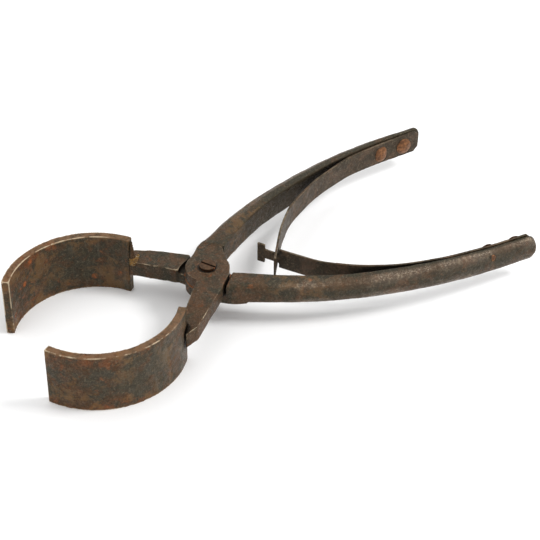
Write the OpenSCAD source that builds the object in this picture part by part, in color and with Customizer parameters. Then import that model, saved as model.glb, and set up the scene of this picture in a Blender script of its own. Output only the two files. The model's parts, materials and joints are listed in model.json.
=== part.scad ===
// Spring-opened band-jaw tongs: two forged levers half-lapped on one slotted screw, each with a curved
// strip-steel jaw at one end and a leaf spring riveted inside its handle at the other.
// +X runs from the pivot towards the handle ends, -X towards the jaws, +Y to the side of the slotted
// spring, +Z along the pivot screw towards its head. The origin is at the bottom centre of the whole tool.

/* [Jaw bands] */
// Radius of the round work that one jaw band fits
band_radius = 38.1; // [34:0.1:42]
// Thickness of the strip that the bands are bent from
band_thickness = 4; // [3:0.25:5]
// Height of a band along the pivot axis
band_height = 32; // [26:1:38]
// Distance from the pivot axis to the middle of the bands' circles
band_reach = 59.9; // [58:0.1:62]
// How far each band's circle lies to its own side of the tool's middle plane
band_spread = 4.8; // [4:0.1:6]
// Height of the bands' middle above the lap face of the levers
band_lift = -2.4; // [-4:0.1:0]
// Angle at which a band starts, beside its arm, about the middle of its circle
band_root_angle = 36.5; // [34:0.5:38]
// Angle at which the lower lever's band ends, at its free tip
band_tip_angle = 147.5; // [145:0.5:148]
// How many degrees further the upper lever's band runs
upper_band_extra = 2; // [0:0.5:3]

/* [Pivot] */
// Diameter of the round lap of each lever
lap_diameter = 22; // [20:0.5:24]
// Thickness of both laps together
lap_stack = 12.8; // [11:0.2:14]
// Diameter of the pivot screw's shank
screw_diameter = 6; // [5:0.5:7]
// Diameter of the pivot screw's head
screw_head_diameter = 8.2; // [7.6:0.2:10]
// Height of the pivot screw's head
screw_head_height = 1.4; // [1.2:0.1:2.4]
// Direction of the slot in the screw's head
slot_angle = -58; // [-90:1:90]

/* [Handles] */
// How far the handles' middle lies below the lap face of the levers
handle_drop = 0.8; // [0:0.1:1.2]
// How much wider the upper lever's handle is than the lower one's where it bows out most
upper_swell = 1.4; // [0:0.1:1.6]
// Length over which a handle changes from a square bar at the lap to a round-backed one
rounding_run = 60; // [40:1:80]

/* [Leaf springs] */
// How far the springs' middle lies below the lap face of the levers
spring_drop = 0.5; // [0:0.1:0.8]
// Thickness of the spring strip
spring_thickness = 1.2; // [0.8:0.1:1.4]
// Height of a spring at its free end
spring_tip_height = 11; // [10:0.5:12]
// Height of a spring where it is riveted
spring_root_height = 13; // [12:0.2:13]
// Height of the tongue's stem
stem_height = 5.6; // [4:0.2:6]

/* [Rivets] */
// Diameter of a rivet's head
rivet_head_diameter = 10; // [8:0.5:11]
// Height of a rivet's domed head
rivet_head_height = 1.9; // [1.4:0.1:2.4]
// Diameter of a rivet's shank
rivet_shank_diameter = 4; // [3:0.5:5]
// How far the upper lever's rivets lie below the lap face
rivet_offset = 0.9; // [0:0.1:1.2]
// How far the lower lever's rivets lie above the lap face
lower_rivet_offset = 1.6; // [0:0.1:2]

/* [Hidden] */
$fn = 96;
big = 400;

iron = [0.27, 0.24, 0.20];
rust = [0.36, 0.28, 0.21];
spring_steel = [0.33, 0.28, 0.25];
copper = [0.62, 0.38, 0.25];

// Handle, inner face outwards: distance from the pivot along X, inner face Y, width, height, middle Z
X = 0;
INNER = 1;
WIDTH = 2;
HEIGHT = 3;
MIDDLE = 4;
handle = [
    [3, 2.9, 12.6, 12.2, 0.7],
    [9, 6.8, 12.4, 12.2, 0.7],
    [16, 11.4, 10.8, 12.3, 0.65],
    [28, 19.6, 9.8, 12.5, 0.5],
    [50, 31.6, 8.1, 13, 0.45],
    [80, 41.9, 6.7, 13.8, 0.5],
    [115, 49.3, 5.2, 14.2, 0.5],
    [156.5, 52.4, 4.2, 13.8, 0.5]
];
handle_end = handle[len(handle) - 1][X];
handle_rings = 44;
end_rounding = 3.5;
// Share of the swell that the bar gains in height
swell_height = 0.6;
// Sections of the bar, as share of its width outwards and share of half its height upwards
square_section = [[0, -0.88], [0, 0.88], [0.1, 0.99], [0.4, 1], [0.82, 1], [0.95, 0.9], [1, 0.7],
                  [1, -0.7], [0.95, -0.9], [0.82, -1], [0.4, -1], [0.1, -0.99]];
round_section = [[0, -0.88], [0, 0.88], [0.1, 0.99], [0.46, 1], [0.75, 0.88], [0.92, 0.6], [1, 0.2],
                 [1, -0.2], [0.92, -0.6], [0.75, -0.88], [0.46, -1], [0.1, -0.99]];

// Leaf springs, root to tip: distance from the pivot along X, Y of the face towards the middle
rear_rivet_x = 145.4;
front_rivet_x = 130.2;
spring_root_x = 155.2;
spring_tip_x = 20;
spring_corner = 2.6;
spring_leaves_x = 112;
slotted_path = [[101, 44.6], [84, 38.2], [71.5, 31.4], [60.4, 24.2], [52, 16], [45.4, 8.2],
                [38, -2], [33.3, -8.6]];
tongue_path = [[102, 45.7], [84, 40.6], [70, 34], [60.8, 28], [51.8, 20.4], [45.2, 12], [38.7, 2.9],
               [34.2, -3.8], [31.9, -7.2]];
slot_middle = slotted_path[6];
slot_length = 12;
slot_shift = 0.8;
slot_clearance = 0.4;
cutter = 10;
stem_start = tongue_path[6];
head_start = tongue_path[7];

// Running gaps
screw_gap = 0.05;
lap_gap = 0.1;
rivet_gap = 0.02;
seat_gap = 0.08;
weld_gap = 0.02;

// Arm between the lap and the jaw band: outline on its own side, and its lowest and highest faces
arm_outer = [[-29, 35], [-22.4, 34.2], [-16.6, 30.2], [-9, 24.2], [-1, 17.4]];
arm_heel = [-12.5, 9.7];
arm_inner = [-2, 6];
weld_bite = [-3, 3];
arm_root_x = -32;
arm_level_x = -12;
arm_end_x = 4;
arm_root_low = -8;
arm_root_high = 1;
arm_height = 8.6;
arm_shoulder_radius = 14.5;
// The handle's flat shoulder faces the other lever's neck: direction it faces and distance from the pivot
shoulder_angle = 45;
shoulder_reach = 12.3;
// Above this height the bar starts further out, within the lug's outline
shoulder_top = 0.6;
lug_reach = 17.7;
// Lug that joins a lap to its handle
lug = [[-8, 7.2], [-0.8, 13.4], [2.8, 16.8], [6.2, 19], [10.8, 20.6], [14, 12], [11, 1]];
// Neck that joins a lap to its arm
neck = [[9.3, 5.9], [7.2, 9.2], [-0.9, 17.3], [-9, 18], [-13.4, 12.5], [-8, 4]];
peen_radius = 4.4;
peen_height = 0.7;
slot_width = 1.2;
slot_depth = 0.9;

lap_radius = lap_diameter / 2;
lap_top = lap_stack / 2;
band_outer = band_radius + band_thickness;
jaw_tip_x = -band_reach + band_outer * cos(band_tip_angle + upper_band_extra);
pivot_x = -(handle_end + jaw_tip_x) / 2;
pivot_z = band_height / 2 - band_lift;

function blend(a, b, t) = a + (b - a) * t;
function row_of(x, i = 0) = i >= len(handle) - 2 || x < handle[i + 1][X] ? i : row_of(x, i + 1);
function rise(c, i) = (handle[i + 1][c] - handle[i][c]) / (handle[i + 1][X] - handle[i][X]);
function slope(c, i) = i == 0 ? rise(c, 0)
    : i == len(handle) - 1 ? rise(c, i - 1)
    : (rise(c, i - 1) + rise(c, i)) / 2;
// Smooth curve through one column of the handle's rows
function along(c, x) =
    let (i = row_of(x), run = handle[i + 1][X] - handle[i][X], t = (x - handle[i][X]) / run)
    handle[i][c] * (2 * pow(t, 3) - 3 * pow(t, 2) + 1)
    + handle[i + 1][c] * (3 * pow(t, 2) - 2 * pow(t, 3))
    + slope(c, i) * run * (pow(t, 3) - 2 * pow(t, 2) + t)
    + slope(c, i + 1) * run * (pow(t, 3) - pow(t, 2));
function unit(v) = v / norm(v);
function left_of(v) = [-v[1], v[0]];
function inner_point(x) = [x, along(INNER, x)];
function outward(x) = left_of(unit(inner_point(x + 0.5) - inner_point(x - 0.5)));
// Height lost to the rounded end of the handle
function end_loss(x) =
    let (left = end_rounding - min(end_rounding, handle_end - x))
    end_rounding - sqrt(pow(end_rounding, 2) - pow(left, 2));
// Share of the swell that a bar has at x: none at either end, most at a third of its length
function bulge(x) = sin(180 * pow(min(1, (x - handle[0][X]) / (handle_end - handle[0][X])), 0.7));
// Share of the way from the lap to where the bar is fully round-backed and level
function settled(x) = min(1, (x - handle[0][X]) / rounding_run);
function ring(x, drop, swell) = [for (k = [0 : len(square_section) - 1])
    let (s = blend(square_section[k], round_section[k], settled(x)),
         more = swell * bulge(x),
         p = inner_point(x) + outward(x) * (along(WIDTH, x) + more) * s[0],
         middle = along(MIDDLE, x) - drop * pow(settled(x), 2))
    [p[0], p[1], middle + ((along(HEIGHT, x) + swell_height * more) / 2 - end_loss(x)) * s[1]]];
// Rings lie closer together where the end is rounded
function ring_x(i) =
    let (last = handle_rings - 1, t = i / last)
    blend(handle[0][X], handle_end, 1 - pow(1 - t, 1.35));

// Smooth curve through 2D points, n steps a span
function bend(points, n) =
    let (last = len(points) - 1)
    concat([for (i = [0 : last - 1], k = [0 : n - 1])
        let (t = k / n, a = points[max(i - 1, 0)], b = points[i], c = points[i + 1],
             d = points[min(i + 2, last)])
        0.5 * (2 * b + (c - a) * t + (2 * a - 5 * b + 4 * c - d) * pow(t, 2)
               + (3 * b - a - 3 * c + d) * pow(t, 3))],
        [points[last]]);
function side_of(path, i) =
    left_of(unit(path[min(i + 1, len(path) - 1)] - path[max(i - 1, 0)]));

// Strip of even thickness along a path, standing on edge
module strip(path, height_root, height_tip) {
    back = [for (i = [0 : len(path) - 1]) path[i] - side_of(path, i) * spring_thickness];
    intersection() {
        linear_extrude(height = big, center = true)
            polygon(concat(path, [for (i = [len(path) - 1 : -1 : 0]) back[i]]));
        rotate([90, 0, 0])
            linear_extrude(height = big, center = true)
                polygon([[spring_tip_x, -height_tip / 2],
                         [spring_root_x - spring_corner, -height_root / 2],
                         [spring_root_x, spring_corner - height_root / 2],
                         [spring_root_x, height_root / 2 - spring_corner],
                         [spring_root_x - spring_corner, height_root / 2],
                         [spring_tip_x, height_tip / 2]]);
    }
}

// Path of a spring's free face, from its root on the handle's inner face to its tip
function spring_path(free) =
    bend(concat([for (x = [spring_root_x + 1, rear_rivet_x, front_rivet_x, spring_leaves_x])
                     inner_point(x) - outward(x) * (spring_thickness + seat_gap)], free), 5);

module handle_body(drop, swell) {
    rings = [for (i = [0 : handle_rings - 1]) ring(ring_x(i), drop, swell)];
    n = len(square_section);
    points = [for (r = rings, p = r) p];
    walls = [for (i = [0 : handle_rings - 2], k = [0 : n - 1])
        let (a = i * n + k, b = i * n + (k + 1) % n)
        each [[a, b, b + n], [a, b + n, a + n]]];
    caps = [[for (k = [n - 1 : -1 : 0]) k], [for (k = [0 : n - 1]) (handle_rings - 1) * n + k]];
    polyhedron(points, concat(walls, caps), convexity = 6);
}

module jaw_band(tip_angle) {
    translate([-band_reach, band_spread, band_lift - band_height / 2])
        rotate([0, 0, band_root_angle])
            rotate_extrude(angle = tip_angle - band_root_angle)
                translate([band_radius, 0])
                    square([band_thickness, band_height]);
}

// Arm on the +Y side, level with the lap's upper face beside it; root_low is its lowest height at the band
module arm(root_low) {
    root_high = root_low + arm_root_high - arm_root_low;
    lap_low = lap_top - arm_height;
    root = [-band_reach, band_spread] + band_radius * [cos(band_root_angle), sin(band_root_angle)];
    difference() {
        intersection() {
            linear_extrude(height = big, center = true)
                polygon(concat([arm_heel, root, root + weld_bite], arm_outer, [arm_inner]));
            rotate([90, 0, 0])
                linear_extrude(height = big, center = true)
                    polygon([[arm_root_x, root_low], [arm_level_x, lap_low], [arm_end_x, lap_low],
                             [arm_end_x, lap_top], [arm_level_x, lap_top], [arm_root_x, root_high]]);
        }
        translate([-band_reach, band_spread, -big / 2])
            cylinder(r = band_radius, h = big);
        translate([-band_reach, band_spread, -big / 2])
            rotate([0, 0, band_root_angle - 0.05])
                rotate_extrude(angle = band_tip_angle - band_root_angle)
                    square([band_outer + weld_gap, big]);
    }
}

module rivet_hole(x, level) {
    p = inner_point(x);
    translate([p[0], p[1], level])
        rotate([0, 0, atan2(outward(x)[1], outward(x)[0])])
            rotate([0, 90, 0])
                cylinder(d = rivet_shank_diameter, h = 3 * cutter, center = true);
}

// Lever with its handle on the +Y side, its arm on the -Y side and its lap above Z = 0; root_low is the
// arm's lowest height at the band, drop is how far the handle lies below Z = 0, swell is its added width
// and rivet_level the height of its rivets
module lever(root_low, drop, swell, rivet_level) {
    difference() {
        union() {
            difference() {
                union() {
                    handle_body(drop, swell);
                    mirror([0, 1, 0])
                        arm(root_low);
                }
                rotate([0, 0, shoulder_angle]) {
                    translate([shoulder_reach - cutter, 0, 0])
                        cube([2 * cutter, 2 * lap_diameter, big], center = true);
                    translate([lug_reach - cutter, 0, shoulder_top + big / 2])
                        cube([2 * cutter, 2 * lap_diameter, big], center = true);
                }
                intersection() {
                    translate([0, 0, -big])
                        cylinder(r = arm_shoulder_radius, h = big + lap_gap / 2);
                    translate([-big, -big / 2, -big])
                        cube([big, big, 2 * big]);
                }
            }
            translate([0, 0, lap_gap / 2])
                linear_extrude(height = lap_top - lap_gap / 2)
                    union() {
                        circle(r = lap_radius);
                        polygon(lug);
                        mirror([0, 1, 0])
                            polygon(neck);
                    }
        }
        cylinder(d = screw_diameter, h = big, center = true);
        for (x = [front_rivet_x, rear_rivet_x])
            rivet_hole(x, rivet_level);
    }
}

// Rivet: domed head inside, shank through spring and handle
module rivet(x, level, swell) {
    reach = along(WIDTH, x) + swell * bulge(x);
    head = rivet_head_height;
    ball = (pow(rivet_head_diameter / 2, 2) + pow(head, 2)) / (2 * head);
    p = inner_point(x) - outward(x) * (spring_thickness + 2 * seat_gap);
    translate([p[0], p[1], level])
        rotate([0, 0, atan2(outward(x)[1], outward(x)[0])])
            rotate([0, 90, 0]) {
                translate([0, 0, -rivet_gap])
                    cylinder(d = rivet_shank_diameter - 2 * rivet_gap, h = reach + spring_thickness);
                rotate([180, 0, 0])
                    intersection() {
                        translate([0, 0, head - ball])
                            sphere(r = ball);
                        cylinder(d = rivet_head_diameter, h = head + 1);
                    }
            }
}

module at_pivot() {
    translate([pivot_x, 0, pivot_z])
        children();
}

module upper_lever() {
    color(iron)
        at_pivot()
            lever(arm_root_low, handle_drop, upper_swell, -rivet_offset);
}

module upper_jaw_band() {
    color(rust)
        at_pivot()
            mirror([0, 1, 0])
                jaw_band(band_tip_angle + upper_band_extra);
}

module slotted_spring() {
    path = spring_path(slotted_path);
    run = slotted_path[5] - slot_middle;
    color(spring_steel)
        at_pivot()
            difference() {
                translate([0, 0, -spring_drop])
                    strip(path, spring_root_height, spring_tip_height);
                translate([slot_middle[0], slot_middle[1], -spring_drop])
                    rotate([0, 0, atan2(run[1], run[0])])
                        translate([slot_shift, 0, 0])
                            cube([slot_length, cutter / 2, stem_height + 2 * slot_clearance],
                                 center = true);
                for (x = [front_rivet_x, rear_rivet_x])
                    rivet_hole(x, -rivet_offset);
            }
}

module upper_front_rivet() {
    color(copper)
        at_pivot()
            rivet(front_rivet_x, -rivet_offset, upper_swell);
}

module upper_rear_rivet() {
    color(copper)
        at_pivot()
            rivet(rear_rivet_x, -rivet_offset, upper_swell);
}

module lower_lever() {
    color(iron)
        at_pivot()
            rotate([180, 0, 0])
                lever(-arm_root_high, -handle_drop, 0, -lower_rivet_offset);
}

module lower_jaw_band() {
    color(rust)
        at_pivot()
            jaw_band(band_tip_angle);
}

module tongue_spring() {
    path = spring_path(tongue_path);
    run = head_start - stem_start;
    color(spring_steel)
        at_pivot()
            mirror([0, 1, 0])
                difference() {
                    translate([0, 0, -spring_drop])
                        strip(path, spring_root_height, spring_tip_height);
                    translate([stem_start[0], stem_start[1], -spring_drop])
                        rotate([0, 0, atan2(run[1], run[0])])
                            for (side = [-1, 1])
                                translate([0, -cutter / 4, side * (stem_height + cutter) / 2 - cutter / 2])
                                    cube([norm(run), cutter / 2, cutter]);
                    for (x = [front_rivet_x, rear_rivet_x])
                        rivet_hole(x, lower_rivet_offset);
                }
}

module lower_front_rivet() {
    color(copper)
        at_pivot()
            mirror([0, 1, 0])
                rivet(front_rivet_x, lower_rivet_offset, 0);
}

module lower_rear_rivet() {
    color(copper)
        at_pivot()
            mirror([0, 1, 0])
                rivet(rear_rivet_x, lower_rivet_offset, 0);
}

module pivot_screw() {
    head_base = lap_top + lap_gap / 2;
    color(rust)
        at_pivot()
            difference() {
                union() {
                    translate([0, 0, -head_base])
                        cylinder(d = screw_diameter - 2 * screw_gap, h = 2 * head_base);
                    translate([0, 0, head_base])
                        cylinder(d = screw_head_diameter, h = screw_head_height);
                    translate([0, 0, -head_base - peen_height])
                        cylinder(r1 = peen_radius - peen_height, r2 = peen_radius, h = peen_height);
                }
                rotate([0, 0, slot_angle])
                    translate([0, 0, head_base + screw_head_height - slot_depth + cutter / 2])
                        cube([2 * screw_head_diameter, slot_width, cutter], center = true);
            }
}

upper_lever();
upper_jaw_band();
slotted_spring();
upper_front_rivet();
upper_rear_rivet();
lower_lever();
lower_jaw_band();
tongue_spring();
lower_front_rivet();
lower_rear_rivet();
pivot_screw();
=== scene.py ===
"""Looks of the spring-opened band-jaw tongs: forged levers, rusty bands, leaf springs, copper rivets."""
import json
import math
import random

import bmesh
import bpy
import numpy as np
from mathutils import Matrix, Vector, noise
from mathutils.bvhtree import BVHTree


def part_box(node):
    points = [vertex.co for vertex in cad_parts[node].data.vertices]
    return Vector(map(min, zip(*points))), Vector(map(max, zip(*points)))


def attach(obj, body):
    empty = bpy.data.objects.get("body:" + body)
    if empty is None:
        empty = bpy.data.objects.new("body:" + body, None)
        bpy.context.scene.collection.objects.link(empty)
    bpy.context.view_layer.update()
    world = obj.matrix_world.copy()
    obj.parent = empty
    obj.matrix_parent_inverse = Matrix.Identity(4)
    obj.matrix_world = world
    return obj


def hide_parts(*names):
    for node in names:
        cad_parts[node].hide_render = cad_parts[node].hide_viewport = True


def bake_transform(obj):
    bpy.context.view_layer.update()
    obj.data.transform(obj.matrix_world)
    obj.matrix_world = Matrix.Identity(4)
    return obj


MM = 0.001

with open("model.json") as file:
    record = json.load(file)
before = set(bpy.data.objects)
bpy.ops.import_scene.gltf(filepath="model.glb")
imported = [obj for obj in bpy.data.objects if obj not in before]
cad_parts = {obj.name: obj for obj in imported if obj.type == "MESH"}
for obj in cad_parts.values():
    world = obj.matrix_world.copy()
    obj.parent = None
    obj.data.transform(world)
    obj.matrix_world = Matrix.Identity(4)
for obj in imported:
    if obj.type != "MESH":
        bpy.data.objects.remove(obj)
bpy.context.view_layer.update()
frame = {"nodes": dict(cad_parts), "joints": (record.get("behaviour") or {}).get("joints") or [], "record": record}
JOINT = {j["name"]: j for j in frame["joints"]}
MOUNT = {m["name"]: m for m in frame["record"]["mounts"]}
PIVOT = Vector(JOINT["upper_hinge"]["pos_m"])
BODIES = ("upper", "lower")

# ---------------------------------------------------------------- camera
LENS_MM = 108.4
SENSOR_MM = 36
AZIMUTH = -29.42
ELEVATION = 39.15
ROLL = 0.85
DISTANCE = 792.7 * MM
# where the pivot lies in the picture, as a share of its width from the middle
PIVOT_RIGHT = -0.1154
PIVOT_UP = -0.0125


def camera_axes():
    """Right, up and backward directions of the camera."""
    az, el, roll = (math.radians(a) for a in (AZIMUTH, ELEVATION, ROLL))
    back = Vector((math.sin(az) * math.cos(el), -math.cos(az) * math.cos(el), math.sin(el)))
    level = Vector((math.cos(az), math.sin(az), 0))
    rise = back.cross(level)
    right = level * math.cos(roll) + rise * math.sin(roll)
    up = rise * math.cos(roll) - level * math.sin(roll)
    return right, up, back


def add_camera():
    data = bpy.data.cameras.new("camera")
    data.lens = LENS_MM
    data.sensor_width = SENSOR_MM
    data.clip_start = 0.01
    right, up, back = camera_axes()
    share = SENSOR_MM / LENS_MM
    to_pivot = right * PIVOT_RIGHT * share + up * PIVOT_UP * share - back
    place = Matrix((right, up, back)).transposed().to_4x4()
    place.translation = PIVOT - to_pivot * DISTANCE
    camera = bpy.data.objects.new("camera", data)
    camera.matrix_world = place
    bpy.context.scene.collection.objects.link(camera)
    bpy.context.scene.camera = camera


# ---------------------------------------------------------------- material graphs
class Graph:
    """A material's nodes, made one call at a time."""

    def __init__(self, name):
        self.material = bpy.data.materials.new(name)
        self.material.use_nodes = True
        self.tree = self.material.node_tree
        self.tree.nodes.clear()
        self.place = self.add("ShaderNodeTexCoord").outputs["Object"]
        self.split = self.add("ShaderNodeSeparateXYZ", Vector=self.place)

    def add(self, kind, settings=None, **inputs):
        node = self.tree.nodes.new(kind)
        for key, value in (settings or {}).items():
            setattr(node, key, value)
        for key, value in inputs.items():
            self.feed(node.inputs[key.replace("_", " ")], value)
        return node

    def feed(self, socket, value):
        if isinstance(value, bpy.types.NodeSocket):
            self.tree.links.new(value, socket)
        else:
            socket.default_value = value

    def noise(self, size, detail=5, rough=0.6, distortion=0.0, stretch=None, shift=0.0):
        """Noise whose features are about size metres across; stretch squeezes it along each axis."""
        vector = self.place
        if stretch or shift:
            vector = self.add("ShaderNodeMapping", Vector=vector, Scale=stretch or (1, 1, 1),
                              Location=(shift, shift, shift)).outputs[0]
        node = self.add("ShaderNodeTexNoise", Vector=vector, Scale=1 / size, Detail=detail,
                        Roughness=rough, Distortion=distortion)
        return node.outputs["Fac"]

    def spots(self, size):
        """Distance from scattered points about size metres apart, as a share of size."""
        node = self.add("ShaderNodeTexVoronoi", Vector=self.place, Scale=1 / size)
        return node.outputs["Distance"]

    def survey(self, name):
        """A value that survey() stored on the mesh."""
        return self.add("ShaderNodeAttribute", {"attribute_name": name}).outputs["Fac"]

    def span(self, value, low, high, to_low=0.0, to_high=1.0):
        node = self.add("ShaderNodeMapRange", {"interpolation_type": "SMOOTHSTEP"})
        for socket, v in zip(node.inputs[:5], (value, low, high, to_low, to_high)):
            self.feed(socket, v)
        return node.outputs[0]

    def math(self, operation, a, b, clamp=True):
        node = self.add("ShaderNodeMath", {"operation": operation, "use_clamp": clamp})
        self.feed(node.inputs[0], a)
        self.feed(node.inputs[1], b)
        return node.outputs[0]

    def both(self, a, b):
        return self.math("MULTIPLY", a, b)

    def mix(self, share, a, b, blend="MIX"):
        node = self.add("ShaderNodeMix", {"data_type": "RGBA", "blend_type": blend})
        self.feed(node.inputs[0], share)
        self.feed(node.inputs[6], a)
        self.feed(node.inputs[7], b)
        return node.outputs[2]

    def finish(self, colour, roughness, bumps, metallic=0.0, specular=0.3):
        """bumps: pairs of height value and depth in metres."""
        normal = None
        for value, depth in bumps:
            node = self.add("ShaderNodeBump", Height=value, Strength=1.0, Distance=depth)
            if normal is not None:
                self.feed(node.inputs["Normal"], normal)
            normal = node.outputs[0]
        shader = self.add("ShaderNodeBsdfPrincipled", Base_Color=colour, Roughness=roughness,
                          Metallic=metallic, Normal=normal)
        self.feed(shader.inputs["Specular IOR Level"], specular)
        shader.inputs["Specular Tint"].default_value = WARM_GLOSS
        output = self.add("ShaderNodeOutputMaterial")
        self.tree.links.new(shader.outputs[0], output.inputs["Surface"])
        return self.material


def rgb(r, g, b):
    """An 8-bit display colour as linear light."""
    def linear(c):
        c /= 255
        return c / 12.92 if c <= 0.04045 else ((c + 0.055) / 1.055) ** 2.4
    return (linear(r), linear(g), linear(b), 1)


SCALE_BLACK = rgb(40, 38, 27)
OLIVE = rgb(58, 53, 37)
UMBER = rgb(74, 51, 32)
RUST = rgb(104, 60, 30)
ORANGE = rgb(158, 82, 32)
OCHRE = rgb(114, 84, 50)
# pale bare metal in the grain and on rubbed edges, also the colour of painted highlights on edges and shoulders
WORN_AND_GLINT = rgb(190, 172, 144)
# soot in the fine grain, and the colour of the painted shade where nearby solids hide the sky
SOOT_AND_SHADE = rgb(16, 12, 7)
WARM_GLOSS = (1.0, 0.87, 0.72, 1)


def weathered(g, dark, brown, patch_size, share, rust_share):
    """Dark forge scale with brown patches, rust blooms and fine grain. share may be a socket."""
    patches = g.math("ADD", g.noise(patch_size, 8, 0.7, 0.5), share, False)
    colour = g.mix(g.span(patches, 0.94, 1.12), dark, brown)
    mottling = g.noise(3.4 * MM, 5, 0.66, 0.3, shift=2.4)
    colour = g.mix(g.span(mottling, 0.53, 0.66, 0.0, 0.7), colour, OLIVE)
    colour = g.mix(g.span(mottling, 0.46, 0.34, 0.0, 0.6), colour, SCALE_BLACK)
    blooms = g.math("ADD", g.noise(5 * MM, 6, 0.72, 0.6, shift=3.1), rust_share, False)
    colour = g.mix(g.span(blooms, 0.57, 0.7, 0.0, 0.9), colour, RUST)
    colour = g.mix(g.span(blooms, 0.7, 0.86, 0.0, 0.55), colour, ORANGE)
    grain = g.noise(0.9 * MM, 4, 0.7)
    colour = g.mix(g.span(grain, 0.52, 0.76, 0.0, 0.24), colour, WORN_AND_GLINT)
    return g.mix(g.span(grain, 0.5, 0.26, 0.0, 0.65), colour, SOOT_AND_SHADE)


def orange_spots(g, colour, share):
    """A few bright fresh rust spots."""
    seed = g.span(g.spots(9 * MM), 0.24, 0.08, 0.0, 0.8)
    where = g.span(g.noise(24 * MM, 3), 0.6 - share, 0.66 - share)
    ragged = g.span(g.noise(1.4 * MM, 4, 0.7), 0.38, 0.58)
    return g.mix(g.both(g.both(seed, where), ragged), colour, ORANGE)


def painted_shade_and_hollows(g, colour, deep=0.95):
    """Painted shade where nearby solids hide the sky, and a dark brown in the hollows of the skin."""
    shelter = g.span(g.survey("shelter"), 0.2, 0.62, 0.0, deep)
    hollow = g.span(g.survey("hollow"), 0.15, 0.6, 0.0, 0.7)
    colour = g.mix(hollow, colour, rgb(44, 26, 14))
    return g.mix(shelter, colour, SOOT_AND_SHADE)


def worn_and_glinting_edges(g, colour, low, high, amount, tone=WORN_AND_GLINT):
    """Bare metal where an edge is rubbed, pale enough to serve also as a painted highlight along the edge."""
    rubbed = g.span(g.noise(7 * MM, 6, 0.65, shift=5.3), 0.42, 0.54)
    edge = g.both(g.span(g.survey("edge"), low, high), rubbed)
    return g.mix(g.both(edge, amount), colour, tone), edge


def forged_steel():
    g = Graph("forged_steel")
    near_lap = g.span(g.split.outputs["X"], PIVOT.x + 60 * MM, PIVOT.x - 10 * MM)
    share = g.span(near_lap, 0.0, 1.0, 0.46, 0.56)
    colour = weathered(g, SCALE_BLACK, UMBER, 11 * MM, share, g.span(near_lap, 0.0, 1.0, -0.03, 0.02))
    bar_start = g.both(g.span(g.split.outputs["X"], PIVOT.x + 14 * MM, PIVOT.x + 24 * MM),
                       g.span(g.split.outputs["X"], PIVOT.x + 62 * MM, PIVOT.x + 34 * MM))
    ochre = g.span(g.noise(6 * MM, 5, 0.66, 0.4, shift=6.2), 0.46, 0.6, 0.0, 0.42)
    colour = g.mix(g.both(ochre, bar_start), colour, OCHRE)
    colour = orange_spots(g, colour, 0.0)
    # faces that look towards the other handle are darkened: dark scale together with painted shade
    inner = g.survey("inner")
    colour = g.mix(g.span(inner, 0.4, 0.85, 0.0, 0.8), colour, rgb(42, 33, 19))
    outward = g.span(inner, 0.25, 0.05)
    on_arm = g.span(g.split.outputs["X"], PIVOT.x - 8 * MM, PIVOT.x - 16 * MM)
    amount = g.both(outward, g.span(on_arm, 0.0, 1.0, 0.45, 1.0))
    # pale edges, strongest on the arms: rubbed metal together with a painted highlight along the ridges
    colour, edge = worn_and_glinting_edges(g, colour, 0.4, 0.9, amount)
    # outer shoulders: a lighter reddish tint and pale spots, rubbed metal together with a painted highlight
    palm_and_sheen = g.survey("palm_and_sheen")
    held_and_sheen = g.both(palm_and_sheen, g.span(g.noise(26 * MM, 4, 0.6, shift=7.4), 0.4, 0.56, 0.15, 1.0))
    sheen_specks = g.span(g.noise(1.5 * MM, 5, 0.75, shift=4.6), 0.51, 0.63)
    colour = g.mix(g.both(palm_and_sheen, 0.3), colour, rgb(104, 74, 56))
    colour = g.mix(g.both(g.both(held_and_sheen, sheen_specks), 0.34), colour, WORN_AND_GLINT)
    colour = painted_shade_and_hollows(g, colour)
    above = g.span(g.split.outputs["Z"], PIVOT.z + 1.0 * MM, PIVOT.z + 0.3 * MM)
    below = g.span(g.split.outputs["Z"], PIVOT.z - 1.0 * MM, PIVOT.z - 0.3 * MM)
    away = g.add("ShaderNodeVectorMath", {"operation": "DISTANCE"})
    g.feed(away.inputs[0], g.place)
    g.feed(away.inputs[1], PIVOT)
    at_lap = g.span(away.outputs["Value"], 12.0 * MM, 11.3 * MM)
    patchy = g.span(g.noise(4 * MM, 4), 0.36, 0.5, 0.3, 0.9)
    colour = g.mix(g.both(g.both(above, below), g.both(at_lap, patchy)), colour, rgb(128, 74, 38))
    pits = g.span(g.noise(0.8 * MM, 5, 0.7), 0.3, 0.75)
    ripples = g.noise(3 * MM, 3)
    rough = g.span(g.noise(1.6 * MM, 6, 0.76), 0.36, 0.62, 0.2, 0.6)
    rough = g.math("SUBTRACT", rough, g.math("MAXIMUM", g.both(edge, 0.14), g.both(held_and_sheen, 0.2)))
    gloss = g.span(held_and_sheen, 0.0, 1.0, 0.32, 0.95)
    bumps = [(ripples, 0.24 * MM), (pits, 0.16 * MM)]
    return g.finish(colour, rough, bumps, metallic=0.1, specular=gloss)


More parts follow.
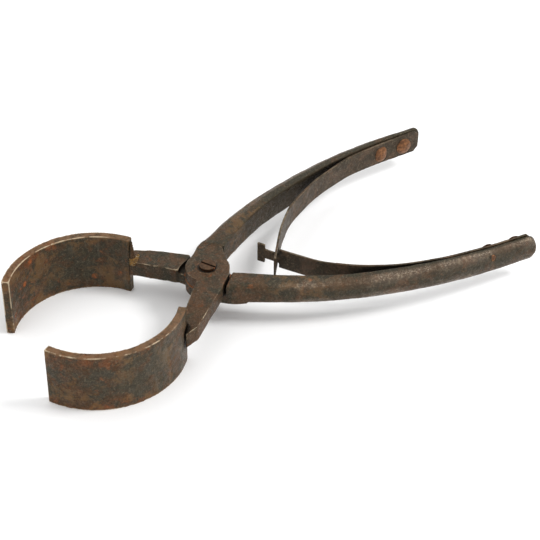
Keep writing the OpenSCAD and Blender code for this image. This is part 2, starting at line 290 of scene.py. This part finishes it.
def band_steel(name, node, root_rust, tip_rust, spots, face_tone):
    """Strip steel, rusty to a different degree at its root and at its free tip, and along its edges."""
    g = Graph(name)
    low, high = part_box(node)
    towards_root = g.span(g.split.outputs["X"], low.x, high.x)
    height = g.split.outputs["Z"]
    near_top = g.span(height, high.z - 10 * MM, high.z - 2 * MM)
    near_bottom = g.span(height, low.z + 9 * MM, low.z + 2 * MM)
    near_end = g.span(towards_root, 0.72, 0.95)
    margin = g.math("MAXIMUM", g.math("MAXIMUM", near_top, near_bottom), near_end)
    share = g.span(towards_root, 0.0, 1.0, tip_rust, root_rust)
    share = g.math("ADD", share, g.both(margin, 0.1), False)
    colour = weathered(g, face_tone, UMBER, 8 * MM, share, g.math("SUBTRACT", share, 0.5, False))
    ochre = g.noise(11 * MM, 7, 0.7, 0.5, shift=6.2)
    colour = g.mix(g.both(g.span(ochre, 0.5, 0.6), g.span(share, 0.42, 0.56, 0.1, 0.65)), colour, OCHRE)
    colour = orange_spots(g, colour, spots)
    # pale vertical streaks growing towards the root: painted sheen, the reflection of the pale floor
    sheen_streaks = g.noise(2.5 * MM, 5, 0.7, stretch=(1, 1, 0.12))
    pale = g.both(g.span(sheen_streaks, 0.5, 0.7, 0.0, 0.34), g.span(towards_root, 0.1, 0.7))
    colour = g.mix(pale, colour, rgb(108, 101, 86))
    top = g.span(height, high.z - 1.1 * MM, high.z - 0.35 * MM)
    bottom = g.span(height, low.z + 1.6 * MM, low.z + 0.2 * MM)
    rim = g.both(g.math("MAXIMUM", top, bottom), g.span(g.noise(3 * MM, 6, 0.72), 0.34, 0.6, 0.0, 0.85))
    colour = g.mix(rim, colour, rgb(112, 82, 56))
    free = g.span(towards_root, 0.97, 0.9)
    colour, edge = worn_and_glinting_edges(g, colour, 0.25, 0.65, g.both(free, 0.9))
    colour = painted_shade_and_hollows(g, colour)
    pits = g.span(g.noise(0.9 * MM, 5, 0.7), 0.3, 0.75)
    ripples = g.noise(4 * MM, 3)
    scale = g.math("ADD", g.noise(3 * MM, 6, 0.7), g.both(towards_root, 0.06))
    rough = g.span(scale, 0.68, 0.36, 0.34, 0.7)
    rough = g.math("SUBTRACT", rough, g.both(edge, 0.14))
    return g.finish(colour, rough, [(ripples, 0.2 * MM), (pits, 0.12 * MM)], metallic=0.08)


def spring_steel():
    g = Graph("spring_steel")
    colour = weathered(g, rgb(50, 40, 29), rgb(78, 59, 44), 10 * MM, 0.5, -0.08)
    colour, edge = worn_and_glinting_edges(g, colour, 0.4, 0.9, 0.3)
    colour = painted_shade_and_hollows(g, colour)
    pits = g.span(g.noise(0.7 * MM, 5, 0.7), 0.3, 0.75)
    rough = g.span(g.noise(3 * MM, 6, 0.7), 0.32, 0.68, 0.36, 0.62)
    rough = g.math("SUBTRACT", rough, g.both(edge, 0.1))
    return g.finish(colour, rough, [(pits, 0.08 * MM)], metallic=0.1)


def copper():
    g = Graph("copper")
    tarnish = g.span(g.noise(2.2 * MM, 6, 0.7), 0.38, 0.6)
    colour = g.mix(tarnish, rgb(134, 90, 58), rgb(84, 55, 36))
    colour, edge = worn_and_glinting_edges(g, colour, 0.25, 0.6, 0.7, rgb(206, 150, 112))
    colour = painted_shade_and_hollows(g, colour)
    dents = g.noise(1.8 * MM, 3)
    rough = g.span(g.noise(1.4 * MM, 4), 0.3, 0.7, 0.32, 0.56)
    rough = g.math("SUBTRACT", rough, g.both(edge, 0.1))
    return g.finish(colour, rough, [(dents, 0.3 * MM)], metallic=0.3)


def screw_steel():
    g = Graph("screw_steel")
    tarnish = g.span(g.noise(2 * MM, 6, 0.7), 0.38, 0.6)
    colour = g.mix(tarnish, rgb(84, 60, 40), rgb(54, 37, 24))
    ring = g.span(g.split.outputs["Z"], PIVOT.z + 7.2 * MM, PIVOT.z + 6.7 * MM)
    colour = g.mix(ring, colour, rgb(116, 58, 26))
    colour, edge = worn_and_glinting_edges(g, colour, 0.3, 0.7, 0.7, rgb(168, 138, 106))
    colour = painted_shade_and_hollows(g, colour, 0.8)
    pits = g.noise(0.9 * MM, 4, 0.7)
    rough = g.span(g.noise(1.5 * MM, 4), 0.3, 0.7, 0.34, 0.58)
    rough = g.math("SUBTRACT", rough, g.both(edge, 0.1))
    return g.finish(colour, rough, [(pits, 0.1 * MM)], metallic=0.2)


def weld_metal():
    g = Graph("weld_metal")
    grain = g.span(g.noise(1.3 * MM, 5, 0.7), 0.4, 0.62)
    colour = g.mix(grain, rgb(78, 56, 30), rgb(132, 98, 50))
    # pale spots on the bead: bright metal together with painted glints
    glint_flecks = g.span(g.noise(0.9 * MM, 4, 0.7, shift=2.2), 0.56, 0.66)
    colour = g.mix(glint_flecks, colour, rgb(196, 180, 144))
    rough = g.span(glint_flecks, 0.0, 1.0, 0.6, 0.3)
    return g.finish(colour, rough, [(grain, 0.2 * MM)], metallic=0.15)


# ---------------------------------------------------------------- surveying a skin
RAYS = 6
RAY_LENGTH = 9 * MM
RAY_START = 0.6 * MM
GOLDEN_ANGLE = math.pi * (3 - math.sqrt(5))
EDGE_HEIGHT = 0.32 * MM
EDGE_ROUNDS = 14
SHELTER_ROUNDS = 6
SHELTER_GAIN = 1.7
FACING_ROUNDS = 4
SHOULDER_GAIN = 2.2
# the handles start behind the laps; the painted shade and the dark brown of the hollows fade out towards the
# riveted ends
LAP_FADE = 22 * MM
LAP_FADE_START = 0.7
RIVETED_FADE = 15 * MM
RIVETED_START = 6.6
RIVETED_SHARE = 0.75


def surroundings():
    """All CAD solids at rest, as one tree of faces."""
    points = []
    faces = []
    for node in sorted(frame["nodes"]):
        mesh = frame["nodes"][node].data
        first = len(points)
        points += [v.co.copy() for v in mesh.vertices]
        faces += [[first + i for i in face.vertices] for face in mesh.polygons]
    return BVHTree.FromPolygons(points, faces)


def read(collection, key, width):
    values = np.empty(len(collection) * width)
    collection.foreach_get(key, values)
    return values.reshape(-1, width)


def evened(values, edges, rounds):
    """Each vertex's values, averaged with its neighbours' rounds times."""
    count = np.bincount(edges.ravel(), minlength=len(values))
    for _ in range(rounds):
        total = np.empty_like(values)
        for column in range(values.shape[1]):
            of = values[:, column]
            total[:, column] = (np.bincount(edges[:, 0], of[edges[:, 1]], len(values))
                                + np.bincount(edges[:, 1], of[edges[:, 0]], len(values)))
        values = (values + total / count[:, None]) / 2
    return values


def sheltering(tree, points, normals):
    """Share of the sky that nearby solids hide from each point."""
    across = np.cross(normals, np.where(np.abs(normals[:, 2:]) < 0.9, [[0, 0, 1]], [[1, 0, 0]]))
    across /= np.linalg.norm(across, axis=1)[:, None]
    along = np.cross(normals, across)
    hidden = np.zeros((len(points), 1))
    turn = np.arange(len(points)) * GOLDEN_ANGLE
    starts = points + normals * RAY_START
    for ray in range(RAYS):
        tilt = math.asin(math.sqrt((ray + 0.5) / RAYS))
        angle = (turn + ray * GOLDEN_ANGLE)[:, None]
        aside = across * np.cos(angle) + along * np.sin(angle)
        ways = normals * math.cos(tilt) + aside * math.sin(tilt)
        for i, (start, way) in enumerate(zip(starts.tolist(), ways.tolist())):
            distance = tree.ray_cast(start, way, RAY_LENGTH)[3]
            if distance is not None:
                hidden[i] += (1 - distance / RAY_LENGTH) / RAYS
    return hidden


def store(mesh, name, values):
    layer = mesh.attributes.new(name, "FLOAT", "POINT")
    layer.data.foreach_set("value", np.clip(values, 0, 1).astype(np.float32).ravel())


def survey(mesh, tree, side):
    """Stores how sharp, how hollow and how sheltered the skin is, where it faces the other handle, and where it
    lies on the outer shoulders that hands rub, which is also the zone of a painted highlight."""
    points = read(mesh.vertices, "co", 3)
    normals = read(mesh.vertices, "normal", 3)
    edges = read(mesh.edges, "vertices", 2).astype(int)
    relief = ((points - evened(points, edges, EDGE_ROUNDS)) * normals).sum(axis=1)[:, None]
    store(mesh, "edge", relief / EDGE_HEIGHT)
    riveted = np.clip((points[:, :1] - PIVOT.x) / RIVETED_FADE - RIVETED_START, 0, RIVETED_SHARE)
    store(mesh, "hollow", -relief / EDGE_HEIGHT * (1 - riveted))
    # shelter sets where the materials paint shade
    hidden = evened(sheltering(tree, points, normals), edges, SHELTER_ROUNDS)
    store(mesh, "shelter", hidden * SHELTER_GAIN * (1 - riveted))
    behind_lap = np.clip((points[:, 0] - PIVOT.x) / LAP_FADE - LAP_FADE_START, 0, 1)
    store(mesh, "inner", evened((-side * normals[:, 1] * behind_lap)[:, None], edges, FACING_ROUNDS))
    # strongest where the outer shoulder slopes at 45 degrees, under the key light's highlight
    on_shoulder = SHOULDER_GAIN * np.clip(side * normals[:, 1], 0, 1) * np.abs(normals[:, 2])
    store(mesh, "palm_and_sheen", evened((on_shoulder * behind_lap)[:, None], edges, FACING_ROUNDS))


# ---------------------------------------------------------------- pieces
WELD_DISTANCE = 0.001 * MM
TAIL_FACE = 0.01 * MM
PLUG_RADIUS = 2.4 * MM
PLUG_LENGTH = 3.2 * MM
PLUG_SINK = 0.25 * MM
TAIL_SINK = 1.2 * MM
HEAD_DEPTH = 3.0 * MM
HEAD_FADE = 0.8 * MM
BLOWS = 7
BLOW_FORCE = 0.85


def add_object(name, mesh):
    obj = bpy.data.objects.new(name, mesh)
    bpy.context.scene.collection.objects.link(obj)
    return obj


def bake(obj):
    """Applies the object's modifiers to its own mesh."""
    graph = bpy.context.evaluated_depsgraph_get()
    mesh = bpy.data.meshes.new_from_object(obj.evaluated_get(graph))
    obj.modifiers.clear()
    obj.data = mesh


def remeshed(obj, voxel, smoothing):
    """Even dense skin with its edges worn round."""
    skin = obj.modifiers.new("skin", "REMESH")
    skin.mode = "VOXEL"
    skin.voxel_size = voxel
    skin.use_smooth_shade = True
    wear = obj.modifiers.new("wear", "SMOOTH")
    wear.factor = 0.5
    wear.iterations = smoothing
    bake(obj)


def dented(obj, depth, size):
    """Sinks the surface by an uneven amount of up to depth, in dents about size across."""
    mesh = obj.data
    normals = [v.normal.copy() for v in mesh.vertices]
    for vertex, normal in zip(mesh.vertices, normals):
        place = vertex.co / size
        sink = (0.5 + 0.5 * noise.noise(place) + 0.25 * noise.noise(place * 2.7)
                + 0.12 * noise.noise(place * 6))
        vertex.co -= normal * depth * max(0.0, min(1.0, sink))
    mesh.update()


def rivet_axis(points):
    """Direction of the rivet's shank, outwards from the middle plane."""
    spread = np.cov((points - points.mean(axis=0)).T)
    ways = np.linalg.eigh(spread)[1].T
    way = max(ways, key=lambda w: abs(w[1]))
    return way * math.copysign(1, way[1] * points[:, 1].mean())


def plug_hole(shell, rivet):
    """Closes a rivet's hole in a handle's back, where the tail is hammered flush and polished over."""
    points = read(frame["nodes"][rivet].data.vertices, "co", 3)
    axis = rivet_axis(points)
    depth = points @ axis
    end = points[depth > depth.max() - TAIL_FACE].mean(axis=0)
    middle = Vector(end - axis * (PLUG_SINK + PLUG_LENGTH / 2))
    turn = Vector(axis).to_track_quat("Z", "Y").to_matrix().to_4x4()
    bmesh.ops.create_cone(shell, cap_ends=True, segments=32, radius1=PLUG_RADIUS, radius2=PLUG_RADIUS,
                          depth=PLUG_LENGTH, matrix=Matrix.Translation(middle) @ turn)


def forged(node, body, voxel, smoothing, depth, size, rivets=()):
    """A CAD node's shape as the smith left it, with the holes of the given rivets closed."""
    mesh = frame["nodes"][node].data.copy()
    shell = bmesh.new()
    shell.from_mesh(mesh)
    bmesh.ops.remove_doubles(shell, verts=shell.verts, dist=WELD_DISTANCE)
    for rivet in rivets:
        plug_hole(shell, rivet)
    shell.to_mesh(mesh)
    shell.free()
    piece = add_object("worn_" + node, mesh)
    remeshed(piece, voxel, smoothing)
    dented(piece, depth, size)
    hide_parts(node)
    if body:
        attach(piece, body)
    return piece


def finished(piece, material, tree, side=1):
    """Surveys the finished skin and gives it its material."""
    survey(piece.data, tree, side)
    piece.data.materials.clear()
    piece.data.materials.append(material)


def middle_of(node):
    low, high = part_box(node)
    return (low + high) / 2


def side_of(body):
    """+1 or -1: the side of the middle plane on which the body's handle lies."""
    return math.copysign(1, middle_of(body + "_rear_rivet").y)


def build_levers(material, tree):
    for body in BODIES:
        rivets = [f"{body}_{place}_rivet" for place in ("front", "rear")]
        piece = forged(body + "_lever", body, 0.45 * MM, 4, 0.32 * MM, 8 * MM, rivets)
        finished(piece, material, tree, side_of(body))


def build_bands(materials, tree):
    for body in BODIES:
        piece = forged(body + "_jaw_band", body, 0.45 * MM, 2, 0.2 * MM, 10 * MM)
        finished(piece, materials[body], tree)


def build_springs(material, tree):
    """Worn copies of the two leaf springs, attached to neither body."""
    for node, body in (("slotted_spring", "upper"), ("tongue_spring", "lower")):
        piece = forged(node, None, 0.32 * MM, 2, 0.05 * MM, 5 * MM)
        finished(piece, material, tree)
        low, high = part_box(node)
        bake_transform(piece)


def hammer_rivet(mesh, width, seed):
    """Narrows the head to a share of its width, flattens it with a few blows and sinks the tail."""
    draw = random.Random(seed)
    points = read(mesh.vertices, "co", 3)
    axis = rivet_axis(points)
    depth = points @ axis
    top = depth.min()
    head = np.clip((top + HEAD_DEPTH - depth) / HEAD_FADE, 0, 1)
    middle = points[head > 0.5].mean(axis=0)
    level = np.cross([0, 0, 1], axis)
    away = (points - middle) @ level
    points -= np.outer(away * head * (1 - width), level)
    for blow in range(BLOWS):
        tilt = math.radians(draw.uniform(10, 34))
        turn = blow * GOLDEN_ANGLE + draw.uniform(-0.4, 0.4)
        aside = level * math.cos(turn) + np.array([0, 0, 1]) * math.sin(turn)
        way = -axis * math.cos(tilt) + aside * math.sin(tilt)
        reach = (points - middle) @ way
        limit = np.quantile(reach[head > 0.5], draw.uniform(0.86, 0.95))
        points -= np.outer(np.clip(reach - limit, 0, None) * head * BLOW_FORCE, way)
    depth = points @ axis
    points -= np.outer(np.clip(depth - depth.max() + TAIL_SINK, 0, None), axis)
    mesh.vertices.foreach_set("co", points.ravel())
    mesh.update()


def build_rivets(material, tree):
    seed = 4
    for body in BODIES:
        for place, width in (("front", 0.8), ("rear", 0.95)):
            piece = forged(f"{body}_{place}_rivet", body, 0.2 * MM, 3, 0.1 * MM, 2.5 * MM)
            hammer_rivet(piece.data, width, seed)
            finished(piece, material, tree)
            seed += 1


def build_screw(material, tree):
    piece = forged("pivot_screw", "pivot", 0.16 * MM, 3, 0.04 * MM, 2 * MM)
    finished(piece, material, tree)


BAND_ROOT_ANGLE = math.radians(36.5)
BAND_THICKNESS = 4 * MM
ARM_TOP = 1 * MM
BEAD_TOP = 1.6 * MM
WEDGE_STEPS = 7
WEDGE_WIDE = 2.3
WEDGE_NARROWING = 1.3
WEDGE_BELOW_TOP = 2.4 * MM
BEAD_STEPS = 6
BEAD_RADIUS = 2.0
BEAD_WAVE = 0.4


def blob(shell, place, radius):
    made = bmesh.ops.create_icosphere(shell, subdivisions=2, radius=radius)
    bmesh.ops.translate(shell, verts=made["verts"], vec=place)


def weld_points(body):
    """Centres and radii of the drops of one weld: up the band's end, then across the arm's top."""
    bore = MOUNT[body + "_band_bore"]
    centre = Vector(bore["pos_m"])
    radius = bore["dims"]["r_mm"] * MM
    side = -side_of(body)
    out = Vector((math.cos(BAND_ROOT_ANGLE), side * math.sin(BAND_ROOT_ANGLE), 0))
    towards_arm = Vector((out.y * side, -out.x * side, 0))
    band_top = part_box(body + "_jaw_band")[1].z
    arm_top = PIVOT.z + ARM_TOP
    drops = []
    for i in range(WEDGE_STEPS):
        t = i / (WEDGE_STEPS - 1)
        level = arm_top * (1 - t) + (band_top - WEDGE_BELOW_TOP) * t
        foot = centre + out * (radius + BAND_THICKNESS * 0.55)
        place = Vector((foot.x, foot.y, level)) + towards_arm * 0.2 * MM
        drops.append((place, (WEDGE_WIDE - WEDGE_NARROWING * t) * MM))
    for i in range(BEAD_STEPS):
        t = i / (BEAD_STEPS - 1)
        foot = centre + out * (radius + BAND_THICKNESS * (0.1 + 1.3 * t)) + towards_arm * 1.7 * MM
        place = Vector((foot.x, foot.y, arm_top - 0.5 * MM))
        drops.append((place, (BEAD_RADIUS + BEAD_WAVE * math.sin(5 * t)) * MM))
    return drops


def build_welds(material, plain_material, tree):
    """A rough bead across the arm's top; up the band's end the weld has gone as dark as the arm."""
    for body in BODIES:
        shell = bmesh.new()
        for place, radius in weld_points(body):
            blob(shell, place, radius)
        mesh = bpy.data.meshes.new(body + "_band_weld")
        shell.to_mesh(mesh)
        shell.free()
        piece = add_object(body + "_band_weld", mesh)
        remeshed(piece, 0.25 * MM, 2)
        dented(piece, 0.3 * MM, 1.6 * MM)
        finished(piece, material, tree)
        piece.data.materials.append(plain_material)
        for face in piece.data.polygons:
            face.material_index = int(face.center.z > PIVOT.z + ARM_TOP + BEAD_TOP)
        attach(piece, body)


# ---------------------------------------------------------------- stage
FLOOR_HALF = 6.0
FLOOR_COLOUR = (0.9, 0.9, 0.9, 1)
FLOOR_ROUGHNESS = 0.9
SKY_STRENGTH = 0.86


def add_floor():
    mesh = bpy.data.meshes.new("floor")
    corners = [(x * FLOOR_HALF, y * FLOOR_HALF, 0) for x, y in ((-1, -1), (1, -1), (1, 1), (-1, 1))]
    mesh.from_pydata(corners, [], [(0, 1, 2, 3)])
    floor = add_object("floor", mesh)
    g = Graph("pale_floor")
    shader = g.add("ShaderNodeBsdfPrincipled")
    shader.inputs["Base Color"].default_value = FLOOR_COLOUR
    shader.inputs["Roughness"].default_value = FLOOR_ROUGHNESS
    output = g.add("ShaderNodeOutputMaterial")
    g.tree.links.new(shader.outputs[0], output.inputs["Surface"])
    mesh.materials.append(g.material)


def add_light(name, direction, distance, size, power):
    """A square lamp of size metres and power watts, aimed at the pivot from distance metres."""
    data = bpy.data.lights.new(name, "AREA")
    data.size = size
    data.energy = power
    light = bpy.data.objects.new(name, data)
    way = Vector(direction).normalized()
    light.location = PIVOT + way * distance
    light.rotation_euler = way.to_track_quat("Z", "Y").to_euler()
    bpy.context.scene.collection.objects.link(light)


def add_lights():
    world = bpy.data.worlds.new("studio")
    world.use_nodes = True
    background = world.node_tree.nodes["Background"]
    background.inputs["Color"].default_value = (1, 1, 1, 1)
    background.inputs["Strength"].default_value = SKY_STRENGTH
    bpy.context.scene.world = world
    add_light("key", (0.58, -0.34, 0.76), 1.1, 0.32, 7)
    add_light("top", (-0.25, 0.35, 1.0), 1.4, 1.2, 4)
    bpy.context.scene.view_settings.view_transform = "Standard"


add_camera()
solids = surroundings()
forged_material = forged_steel()
band_materials = {
    "upper": band_steel("near_band_steel", "upper_jaw_band", 0.42, 0.52, 0.0, rgb(58, 53, 42)),
    # the far band's darker face tone is painted shade over its inner face
    "lower": band_steel("far_band_steel", "lower_jaw_band", 0.42, 0.54, 0.12, rgb(48, 45, 34)),
}
build_levers(forged_material, solids)
build_bands(band_materials, solids)
build_springs(spring_steel(), solids)
build_rivets(copper(), solids)
build_screw(screw_steel(), solids)
build_welds(weld_metal(), forged_material, solids)
add_floor()
add_lights()
